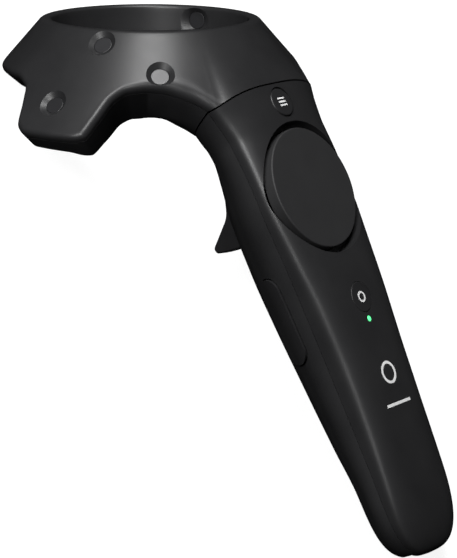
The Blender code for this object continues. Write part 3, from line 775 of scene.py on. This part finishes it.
def plastic(name, dark, light, rough, grain=0.12, grain_size=9000.0, coat=0.0, specular=0.5):
    """Moulded plastic: faint mottled colour, uneven polish and a fine spark-eroded grain."""
    material, nodes, links, shader = shader_nodes(name)
    place = nodes.new("ShaderNodeTexCoord")
    mottle = nodes.new("ShaderNodeTexNoise")
    mottle.inputs["Scale"].default_value = 90.0
    mottle.inputs["Detail"].default_value = 6.0
    links.new(place.outputs["Object"], mottle.inputs["Vector"])
    tint = nodes.new("ShaderNodeValToRGB")
    tint.color_ramp.elements[0].position = 0.3
    tint.color_ramp.elements[0].color = (*dark, 1.0)
    tint.color_ramp.elements[1].position = 0.7
    tint.color_ramp.elements[1].color = (*light, 1.0)
    links.new(mottle.outputs["Fac"], tint.inputs["Fac"])
    links.new(tint.outputs["Color"], shader.inputs["Base Color"])
    polish = nodes.new("ShaderNodeTexNoise")
    polish.inputs["Scale"].default_value = 240.0
    polish.inputs["Detail"].default_value = 4.0
    links.new(place.outputs["Object"], polish.inputs["Vector"])
    level = nodes.new("ShaderNodeMapRange")
    level.inputs["To Min"].default_value = rough - 0.03
    level.inputs["To Max"].default_value = rough + 0.03
    links.new(polish.outputs["Fac"], level.inputs["Value"])
    links.new(level.outputs["Result"], shader.inputs["Roughness"])
    fine = nodes.new("ShaderNodeTexNoise")
    fine.inputs["Scale"].default_value = grain_size
    fine.inputs["Detail"].default_value = 2.0
    links.new(place.outputs["Object"], fine.inputs["Vector"])
    bump = nodes.new("ShaderNodeBump")
    bump.inputs["Strength"].default_value = grain
    bump.inputs["Distance"].default_value = 0.00002
    links.new(fine.outputs["Fac"], bump.inputs["Height"])
    links.new(bump.outputs["Normal"], shader.inputs["Normal"])
    shader.inputs["Coat Weight"].default_value = coat
    shader.inputs["Specular IOR Level"].default_value = specular
    return material


def metal(name, colour, rough, streak=(900.0, 60.0, 900.0)):
    """Rolled or drawn metal with fine streaks."""
    material, nodes, links, shader = shader_nodes(name)
    place = nodes.new("ShaderNodeTexCoord")
    stretch = nodes.new("ShaderNodeMapping")
    stretch.inputs["Scale"].default_value = streak
    links.new(place.outputs["Object"], stretch.inputs["Vector"])
    lines = nodes.new("ShaderNodeTexNoise")
    lines.inputs["Scale"].default_value = 3.0
    lines.inputs["Detail"].default_value = 5.0
    links.new(stretch.outputs["Vector"], lines.inputs["Vector"])
    tint = nodes.new("ShaderNodeValToRGB")
    tint.color_ramp.elements[0].color = (*[c * 0.75 for c in colour], 1.0)
    tint.color_ramp.elements[1].color = (*colour, 1.0)
    links.new(lines.outputs["Fac"], tint.inputs["Fac"])
    links.new(tint.outputs["Color"], shader.inputs["Base Color"])
    level = nodes.new("ShaderNodeMapRange")
    level.inputs["To Min"].default_value = rough - 0.08
    level.inputs["To Max"].default_value = rough + 0.08
    links.new(lines.outputs["Fac"], level.inputs["Value"])
    links.new(level.outputs["Result"], shader.inputs["Roughness"])
    shader.inputs["Metallic"].default_value = 1.0
    return material


def board_green(name):
    """Green solder mask with lighter copper tracks and gold pads showing through."""
    material, nodes, links, shader = shader_nodes(name)
    place = nodes.new("ShaderNodeTexCoord")
    cells = nodes.new("ShaderNodeTexVoronoi")
    cells.inputs["Scale"].default_value = 420.0
    cells.distance = "CHEBYCHEV"
    links.new(place.outputs["Object"], cells.inputs["Vector"])
    tracks = nodes.new("ShaderNodeValToRGB")
    tracks.color_ramp.interpolation = "CONSTANT"
    tracks.color_ramp.elements[0].color = (0.55, 0.42, 0.12, 1.0)
    tracks.color_ramp.elements[1].position = 0.16
    tracks.color_ramp.elements[1].color = (0.012, 0.11, 0.045, 1.0)
    lighter = tracks.color_ramp.elements.new(0.42)
    lighter.color = (0.025, 0.19, 0.08, 1.0)
    links.new(cells.outputs["Distance"], tracks.inputs["Fac"])
    links.new(tracks.outputs["Color"], shader.inputs["Base Color"])
    bump = nodes.new("ShaderNodeBump")
    bump.inputs["Strength"].default_value = 0.3
    bump.inputs["Distance"].default_value = 0.0001
    links.new(cells.outputs["Distance"], bump.inputs["Height"])
    links.new(bump.outputs["Normal"], shader.inputs["Normal"])
    shader.inputs["Roughness"].default_value = 0.35
    return material


def glowing(name, colour, strength):
    """A lit light pipe with a faintly mottled glow."""
    material, nodes, links, shader = shader_nodes(name)
    place = nodes.new("ShaderNodeTexCoord")
    cloud = nodes.new("ShaderNodeTexNoise")
    cloud.inputs["Scale"].default_value = 1500.0
    links.new(place.outputs["Object"], cloud.inputs["Vector"])
    tint = nodes.new("ShaderNodeValToRGB")
    tint.color_ramp.elements[0].color = (*[c * 0.8 for c in colour], 1.0)
    tint.color_ramp.elements[1].color = (*colour, 1.0)
    links.new(cloud.outputs["Fac"], tint.inputs["Fac"])
    links.new(tint.outputs["Color"], shader.inputs["Base Color"])
    links.new(tint.outputs["Color"], shader.inputs["Emission Color"])
    shader.inputs["Emission Strength"].default_value = strength
    shader.inputs["Roughness"].default_value = 0.25
    return material


def make_materials():
    black = (0.0185, 0.0185, 0.0195), (0.0225, 0.0225, 0.0235)
    matte = (0.021, 0.021, 0.022), (0.024, 0.024, 0.025)
    key = (0.0175, 0.0175, 0.0185), (0.0215, 0.0215, 0.0225)
    glass = (0.018, 0.018, 0.019), (0.022, 0.022, 0.024)
    white = (0.86, 0.86, 0.86), (0.93, 0.93, 0.93)
    grey = (0.09, 0.09, 0.095), (0.13, 0.13, 0.135)
    dark = (0.02, 0.02, 0.02), (0.032, 0.032, 0.032)
    return {
        "shell": plastic("satin black shell", *black, 0.40),
        "touch": plastic("matte touch face", *matte, 0.62, 0.25, 14000.0),
        "button": plastic("button black", *key, 0.38),
        "window": plastic("infrared window", *glass, 0.36, 0.05),
        "ink": plastic("white printing ink", *white, 0.5, 0.1, 6000.0),
        "chassis": plastic("grey glass filled nylon", *grey, 0.6, 0.4, 5000.0),
        "switch": plastic("switch body black", *dark, 0.5, 0.2),
        "board": board_green("green circuit board"),
        "steel": metal("bright drawn steel", (0.62, 0.62, 0.63), 0.32),
        "foil": metal("battery pouch foil", (0.66, 0.67, 0.7), 0.42, (200.0, 200.0, 200.0)),
        "glow": glowing("green light pipe", (0.1, 0.9, 0.28), 1.6),
    }


# ---------------------------------------------------------------- pieces
def dimple_cutter(place, turn):
    """The cut of one sensor dimple: a cone down to a flat floor, then a hole for the window."""
    spare = 1.0
    slope = (DIMPLE_RADIUS - DIMPLE_FLOOR_RADIUS) / DIMPLE_DEPTH
    profile = [
        (0.0, -3.3), (DIMPLE_FLOOR_RADIUS, -3.3), (DIMPLE_FLOOR_RADIUS, -DIMPLE_DEPTH),
        (DIMPLE_RADIUS + spare * slope, spare), (0.0, spare),
    ]
    return placed(lathe(profile, 56), place, turn)


def ring_pieces(look):
    stops = ring_stops()
    curve = edge_curve()
    upper = mesh_from(closed_sweep([upper_ring(angle, share, curve) for angle, share in stops]), "upper")
    lower = mesh_from(closed_sweep([lower_ring(angle, share) for angle, share in stops]), "lower")
    wanted = [(angle, radius, "outer") for angle, radius in OUTER_SENSORS]
    wanted += [(angle, RIM_INNER, "inner") for angle in INNER_SENSORS]
    wanted += [(angle, share, "under") for angle, share in UNDER_SENSORS]
    cuts = {"outer": [], "inner": [], "under": []}
    number = 0
    for angle, reach, side in wanted:
        for mirrored in (angle, 360.0 - angle):
            number += 1
            place, turn = sensor_pose(mirrored, reach, side)
            cuts[side].append(dimple_cutter(place, turn))
            top = -DIMPLE_DEPTH + 0.03
            window = lathe(rounded(SENSOR_RADIUS + 0.08, top - WINDOW_THICK, top, 0.12, 3), 56)
            name = f"tracking_sensor_{number:02d}"
            piece(
                f"sensor_window_{number:02d}", mesh_from(placed(window, place, turn), name), look["window"],
                "casing", [name],
            )
    upper = boolean(upper, [joined(cuts["outer"]), joined(cuts["inner"])])
    lower = boolean(lower, [joined(cuts["under"])])
    piece("ring_upper_shell", upper, look["shell"], "casing", ["head_shell_upper"])
    piece("ring_lower_shell", lower, look["shell"], "casing", ["head_shell_lower"])


def front_cover(look):
    angles = arc_angles(97)
    tip = TAIL_START + TAIL_LENGTH
    outer = [[top_point(y, a) for a in angles] for y in station_list(STATIONS[0] + NECK_GAP, tip)]
    outer.append([Vector((0.0, tip, seam_height(tip)))])
    cover = mesh_from(loft(outer), "cover")
    coarse = arc_angles(41)
    inner = []
    stations = [STATIONS[0] - 6.0, STATIONS[0]] + station_list(-34.0, tip - WALL, 4.0, 8)
    for y in sorted(stations + [-24.5, -23.5, 23.5, 24.5]):
        ceiling = PAD_CEILING if abs(y) < 24.0 else 99.0
        clipped = max(y, STATIONS[0])
        ring = [top_point(clipped, a, WALL, ceiling) + Vector((0.0, y - clipped, 0.0)) for a in coarse]
        low = Vector((0.0, 0.0, -1.5))
        inner.append([ring[0] + low] + ring + [ring[-1] + low])
    cavity = loft(inner)
    bmesh.ops.recalc_face_normals(cavity, faces=cavity.faces)
    rim = DISH_RADIUS
    dish = lathe([
        (0.0, -12.0), (PAD_RADIUS + PAD_CLEAR, -12.0), (PAD_RADIUS + PAD_CLEAR, DISH_FLOOR - 0.02),
        (rim - 0.3, DISH_FLOOR), (rim, DISH_FLOOR + 0.3), (rim, 8.0), (0.0, 8.0),
    ], 160)
    hole = BUTTON_RADIUS + BUTTON_CLEAR
    menu = tilted(lathe([(0.0, -8.0), (hole, -8.0), (hole, 6.0), (0.0, 6.0)], 72), MENU_PLACE, MENU_TILT)
    system = lathe([(0.0, -6.0), (hole, -6.0), (hole, 6.0), (0.0, 6.0)], 72)
    system = tilted(system, SYSTEM_PLACE, SYSTEM_TILT)
    light = lathe([(0.0, -6.0), (LIGHT_HOLE, -6.0), (LIGHT_HOLE, 6.0), (0.0, 6.0)], 32)
    light = placed(light, LIGHT_PLACE)
    cover = boolean(cover, [cavity, joined([dish, menu, system, light])])
    piece("handle_front_shell", cover, look["shell"], "casing", ["handle_front_cover"])


def belly_rings(grow, start, tail_end, angles, step=1.6, tail_steps=26, seam_gap=GAP):
    rings = []
    for y in station_list(start, tail_end, step, tail_steps):
        rings.append([belly_point(y, a, grow=grow, seam_gap=seam_gap) for a in angles])
    rings.append([Vector((0.0, tail_end, seam_height(tail_end) - seam_gap))])
    return rings


def grip_prism(side, grow, ends=20):
    """A capsule outline, drawn out along X through one side of the handle."""
    radius = GRIP_WIDTH / 2 + grow
    reach = GRIP_LENGTH / 2 - GRIP_WIDTH / 2
    outline = []
    for end in (1, -1):
        for step in range(ends + 1):
            turn = math.pi * step / ends - math.pi / 2 + (0.0 if end > 0 else math.pi)
            outline.append(
                (
                    GRIP_CENTRE[0] + end * reach + radius * math.cos(turn),
                    GRIP_CENTRE[1] + radius * math.sin(turn),
                )
            )
    near, far = GRIP_SPAN
    low, high = (near, far) if side > 0 else (-far, -near)
    return prism(outline, low, high)


def rear_cover(look):
    tail = TAIL_START + TAIL_LENGTH
    angles = arc_angles(97)
    cover = mesh_from(loft(belly_rings(0.0, STATIONS[0] + NECK_GAP, tail, angles, seam_gap=SEAM)), "rear")
    coarse = arc_angles(41)
    inner = []
    for y in sorted([STATIONS[0] - 6.0, STATIONS[0]] + station_list(-34.0, tail - WALL - 1.6, 4.0, 8)):
        clipped = max(y, STATIONS[0])
        ring = [belly_point(clipped, a, WALL) + Vector((0.0, y - clipped, 0.0)) for a in coarse]
        high = Vector((0.0, 0.0, 1.5))
        inner.append([ring[0] + high] + ring + [ring[-1] + high])
    cavity = loft(inner)
    bmesh.ops.recalc_face_normals(cavity, faces=cavity.faces)
    slot = TRIGGER_HALF_WIDTH + TRIGGER_SLOT_CLEAR
    cuts = [
        box((-30.0, TAIL_FLAT, -40.0), (30.0, 140.0, seam_height(tail) - 1.6)),
        box((-slot, TRIGGER_SLOT[0], -60.0), (slot, TRIGGER_SLOT[1], -20.0)),
        grip_prism(1, GRIP_CLEAR), grip_prism(-1, GRIP_CLEAR),
    ]
    socket = box((-SOCKET_HALF_WIDTH, 110.0, SOCKET_HEIGHT[0]), (SOCKET_HALF_WIDTH, 130.0, SOCKET_HEIGHT[1]))
    cover = boolean(cover, [cavity, joined(cuts), socket])
    piece("handle_rear_shell", cover, look["shell"], "casing", ["handle_rear_cover"])


def grip_pieces(look):
    """Each grip: a capsule-shaped key that follows the handle's side, a little proud of it."""
    tail = TAIL_START + TAIL_LENGTH
    angles = arc_angles(97)
    for side, name in ((1, "left"), (-1, "right")):
        grip = mesh_from(grip_prism(side, 0.0), "grip")
        skin = loft(belly_rings(GRIP_PROUD, STATIONS[0] + NECK_GAP, tail, angles, 1.2, 12))
        bmesh.ops.recalc_face_normals(skin, faces=skin.faces)
        grip = boolean(grip, [skin], "INTERSECT")
        core = loft(belly_rings(-GRIP_THICK, STATIONS[0] + NECK_GAP, tail - 8.0, arc_angles(41), 3.0, 8))
        bmesh.ops.recalc_face_normals(core, faces=core.faces)
        grip = boolean(grip, [core])
        piece(f"grip_key_{name}", grip, look["button"], f"{name}_grip", [f"grip_button_{name}"])


def band(inner, outer, top, thick=0.05, sides=64):
    """A thin flat printed ring."""
    slices = []
    for i in range(sides):
        turn = 2 * math.pi * i / sides
        profile = ((inner, top - thick), (outer, top - thick), (outer, top + thick), (inner, top + thick))
        slices.append([Vector((r * math.cos(turn), r * math.sin(turn), h)) for r, h in profile])
    return closed_sweep(slices)


def bar(low, high, top, thick=0.06):
    return box((low[0], low[1], top - thick), (high[0], high[1], top + thick))


def control_pieces(look):
    disc = lathe(rounded(PAD_RADIUS, -PAD_THICK, 0.0, 0.45, 6), 192)
    disc = mesh_from(disc, "disc")
    piece("trackpad_face", disc, look["touch"], "trackpad", ["trackpad_disc"])
    keys = (
        ("menu", MENU_PLACE, MENU_TILT, MENU_PROUD, 0.55, "menu_key"),
        ("system", SYSTEM_PLACE, SYSTEM_TILT, SYSTEM_PROUD, 0.2, "system_key"),
    )
    for name, place, tilt, proud, edge, body in keys:
        cap = tilted(lathe(rounded(BUTTON_RADIUS, proud - BUTTON_DEPTH, proud, edge), 96), place, tilt)
        piece(f"{name}_key_cap", mesh_from(cap, name), look["button"], body, [f"{name}_button"])
    bars = joined([bar((-1.75, y - 0.28), (1.75, y + 0.28), MENU_PROUD) for y in (-1.2, 0.0, 1.2)])
    bars = mesh_from(tilted(bars, MENU_PLACE, MENU_TILT), "bars")
    piece("menu_icon", bars, look["ink"], "menu_key", [])
    ring = band(1.2, 1.85, SYSTEM_PROUD)
    ring = mesh_from(tilted(ring, SYSTEM_PLACE, SYSTEM_TILT), "ring")
    piece("system_icon", ring, look["ink"], "system_key", [])
    pipe = placed(lathe(rounded(LIGHT_RADIUS, -4.0, 0.06, 0.3, 4), 32), LIGHT_PLACE)
    pipe = mesh_from(pipe, "pipe")
    piece("status_light", pipe, look["glow"], "casing", ["status_light_pipe"])


def face_height(x, y):
    """Height of the handle's upper skin above a place on its face."""
    seam, squareness = seam_height(y), table(y, STATIONS, TOP_SQUARENESS)
    reach = clamp(abs(x) / half_width(y))
    return seam + (top_height(y) - seam) * (1.0 - reach**squareness) ** (1.0 / squareness)


def printed(points_of, count):
    """A thin print that follows the handle's face; points_of(i) gives its inner and outer edge."""
    rings = []
    for i in range(count):
        inner, outer = points_of(i)
        low, high = -0.08, 0.035
        corners = ((inner, low), (outer, low), (outer, high), (inner, high))
        rings.append([Vector((x, y, face_height(x, y) + rise)) for (x, y), rise in corners])
    return rings


def face_marks(look):
    """A plain ring and a plain bar printed on the handle below the status light."""
    def ring_edge(i):
        turn = 2 * math.pi * i / 72
        way = Vector((math.cos(turn), math.sin(turn)))
        radii = (MARK_RADIUS - MARK_STROKE, MARK_RADIUS)
        return [tuple(Vector(MARK_PLACE) + way * radius) for radius in radii]

    def bar_edge(i):
        x = lerp(-BAR_REACH, BAR_REACH, i / 24)
        return [(x, BAR_PLACE - MARK_STROKE / 2), (x, BAR_PLACE + MARK_STROKE / 2)]

    ring = mesh_from(closed_sweep(printed(ring_edge, 72)), "ring")
    piece("printed_ring", ring, look["ink"], "casing", [])
    bar_mesh = mesh_from(loft(printed(bar_edge, 25)), "bar")
    piece("printed_bar", bar_mesh, look["ink"], "casing", [])


def smooth_outline(points, steps=6):
    """A closed curve through given points, kept on the straight runs between them."""
    count = len(points)
    outline = []
    for i in range(count):
        before, here = Vector(points[i - 1]), Vector(points[i])
        after = Vector(points[(i + 1) % count])
        reach = min((before - here).length, (after - here).length) * 0.42
        start = here + (before - here).normalized() * reach
        end = here + (after - here).normalized() * reach
        for share in spread(0.0, 1.0, steps):
            outline.append(start.lerp(here, share).lerp(here.lerp(end, share), share))
    return outline


def trigger_piece(look):
    y, z = TRIGGER_PIVOT
    outline = smooth_outline(TRIGGER_OUTLINE)
    middle = Vector((10.0, -6.0))
    rings = []
    left_edge = ((-6.5, 0.9), (-6.2, 0.45), (-5.6, 0.12), (-4.8, 0.0))
    for x, shrink in left_edge + tuple((-x, shrink) for x, shrink in reversed(left_edge)):
        ring = []
        for point in outline:
            inward = (middle - point).normalized() * shrink
            ring.append(Vector((x, y + point.x + inward.x, z + point.y + inward.y)))
        rings.append(ring)
    blade = mesh_from(loft(rings), "blade")
    radius = TRIGGER_PIN_RADIUS + 0.1
    bore = lathe([(0.0, -20.0), (radius, -20.0), (radius, 20.0), (0.0, 20.0)], 32)
    bore.transform(Matrix.Translation((0.0, y, z)) @ Matrix.Rotation(math.pi / 2, 4, "Y"))
    blade = boolean(blade, [bore])
    piece("trigger_lever_blade", blade, look["button"], "trigger_lever", ["trigger"])


def carried_nodes(nodes, look):
    """Better finishes on the pieces whose plain shape is already right."""
    finishes = {
        "chassis": ("inner_frame", "trigger_bracket"),
        "board": ("main_board", "trackpad_board", "head_flex_board", "usb_board", "radio_antenna"),
        "switch": (
            "trackpad_switch", "menu_switch", "system_switch", "grip_switch_left", "grip_switch_right",
            "trigger_sensor",
        ),
        "steel": ("trigger_pin", "trigger_spring", "usb_connector", "haptic_motor"),
        "foil": ("battery_cell",),
    }
    for finish, names in finishes.items():
        for name in names:
            set_finish(nodes[name], look[finish])
    for name, node in nodes.items():
        if name.startswith("frame_screw"):
            set_finish(node, look["steel"])


def set_finish(node, material):
    node.data.materials.clear()
    node.data.materials.append(material)


# ---------------------------------------------------------------- surroundings
def floor_material():
    material, nodes, links, shader = shader_nodes("pale tabletop")
    place = nodes.new("ShaderNodeTexCoord")
    cloud = nodes.new("ShaderNodeTexNoise")
    cloud.inputs["Scale"].default_value = 3.0
    links.new(place.outputs["Object"], cloud.inputs["Vector"])
    tint = nodes.new("ShaderNodeValToRGB")
    tint.color_ramp.elements[0].color = (0.30, 0.30, 0.30, 1.0)
    tint.color_ramp.elements[1].color = (0.34, 0.34, 0.34, 1.0)
    links.new(cloud.outputs["Fac"], tint.inputs["Fac"])
    links.new(tint.outputs["Color"], shader.inputs["Base Color"])
    links.new(tint.outputs["Color"], shader.inputs["Emission Color"])
    shader.inputs["Emission Strength"].default_value = 2.85
    shader.inputs["Roughness"].default_value = 0.9
    shader.inputs["Specular IOR Level"].default_value = 0.0
    return material


def make_floor():
    bm = bmesh.new()
    bmesh.ops.create_grid(bm, x_segments=8, y_segments=8, size=6.0)
    mesh = bpy.data.meshes.new("floor")
    bm.to_mesh(mesh)
    bm.free()
    mesh.materials.append(floor_material())
    floor = bpy.data.objects.new("floor", mesh)
    floor.location = (0.0, 0.0, FLOOR_HEIGHT)
    bpy.context.scene.collection.objects.link(floor)
    floor.visible_diffuse = False
    floor.visible_glossy = False


def make_world():
    world = bpy.data.worlds.new("studio")
    bpy.context.scene.world = world
    world.use_nodes = True
    nodes, links = world.node_tree.nodes, world.node_tree.links
    background = nodes["Background"]
    background.inputs["Color"].default_value = (1.0, 1.0, 1.0, 1.0)
    place = nodes.new("ShaderNodeTexCoord")
    split = nodes.new("ShaderNodeSeparateXYZ")
    links.new(place.outputs["Generated"], split.inputs["Vector"])
    height = nodes.new("ShaderNodeMapRange")
    height.inputs["From Min"].default_value = -0.05
    height.inputs["From Max"].default_value = 0.7
    height.inputs["To Min"].default_value = 0.0
    height.inputs["To Max"].default_value = AMBIENT
    links.new(split.outputs["Z"], height.inputs["Value"])
    path = nodes.new("ShaderNodeLightPath")
    pick = nodes.new("ShaderNodeMix")
    pick.inputs["B"].default_value = BACKDROP
    links.new(path.outputs["Is Camera Ray"], pick.inputs["Factor"])
    links.new(height.outputs["Result"], pick.inputs["A"])
    links.new(pick.outputs["Result"], background.inputs["Strength"])


def soft_light(name, place, aim, size, energy):
    """An area light whose place and aim are in the controller's frame."""
    data = bpy.data.lights.new(name, "AREA")
    data.shape = "RECTANGLE"
    data.size, data.size_y = size
    data.energy = energy
    light = bpy.data.objects.new(name, data)
    bpy.context.scene.collection.objects.link(light)
    place, aim = TO_TABLE @ Vector(place), TO_TABLE @ Vector(aim)
    light.location = place
    light.rotation_euler = (aim - place).to_track_quat("-Z", "Y").to_euler()


def make_lights():
    soft_light("front softbox", (420.0, -930.0, 800.0), (0.0, -70.0, -30.0), (0.5, 0.5), FRONT_POWER)
    soft_light("side softbox", (900.0, -260.0, 420.0), (0.0, 0.0, 0.0), (0.5, 0.3), SIDE_POWER)


def make_camera():
    turn = TO_TABLE.to_3x3().normalized()
    right, up = turn @ CAMERA_RIGHT, -(turn @ CAMERA_DOWN)
    behind = right.cross(up).normalized()
    up = behind.cross(right).normalized()
    columns = Matrix((right.normalized(), up, behind)).transposed()
    data = bpy.data.cameras.new("camera")
    data.lens = CAMERA_LENS
    data.sensor_width = 36.0
    data.clip_start = 0.01
    camera = bpy.data.objects.new("camera", data)
    bpy.context.scene.collection.objects.link(camera)
    camera.matrix_world = Matrix.Translation(TO_TABLE @ CAMERA_PLACE) @ columns.to_4x4()
    bpy.context.scene.camera = camera


def main():
    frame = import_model()
    bpy.context.scene.view_settings.view_transform = "Standard"
    make_camera()
    look = make_materials()
    carried_nodes(frame["nodes"], look)
    ring_pieces(look)
    front_cover(look)
    rear_cover(look)
    control_pieces(look)
    face_marks(look)
    grip_pieces(look)
    trigger_piece(look)
    make_floor()
    make_world()
    make_lights()


main()
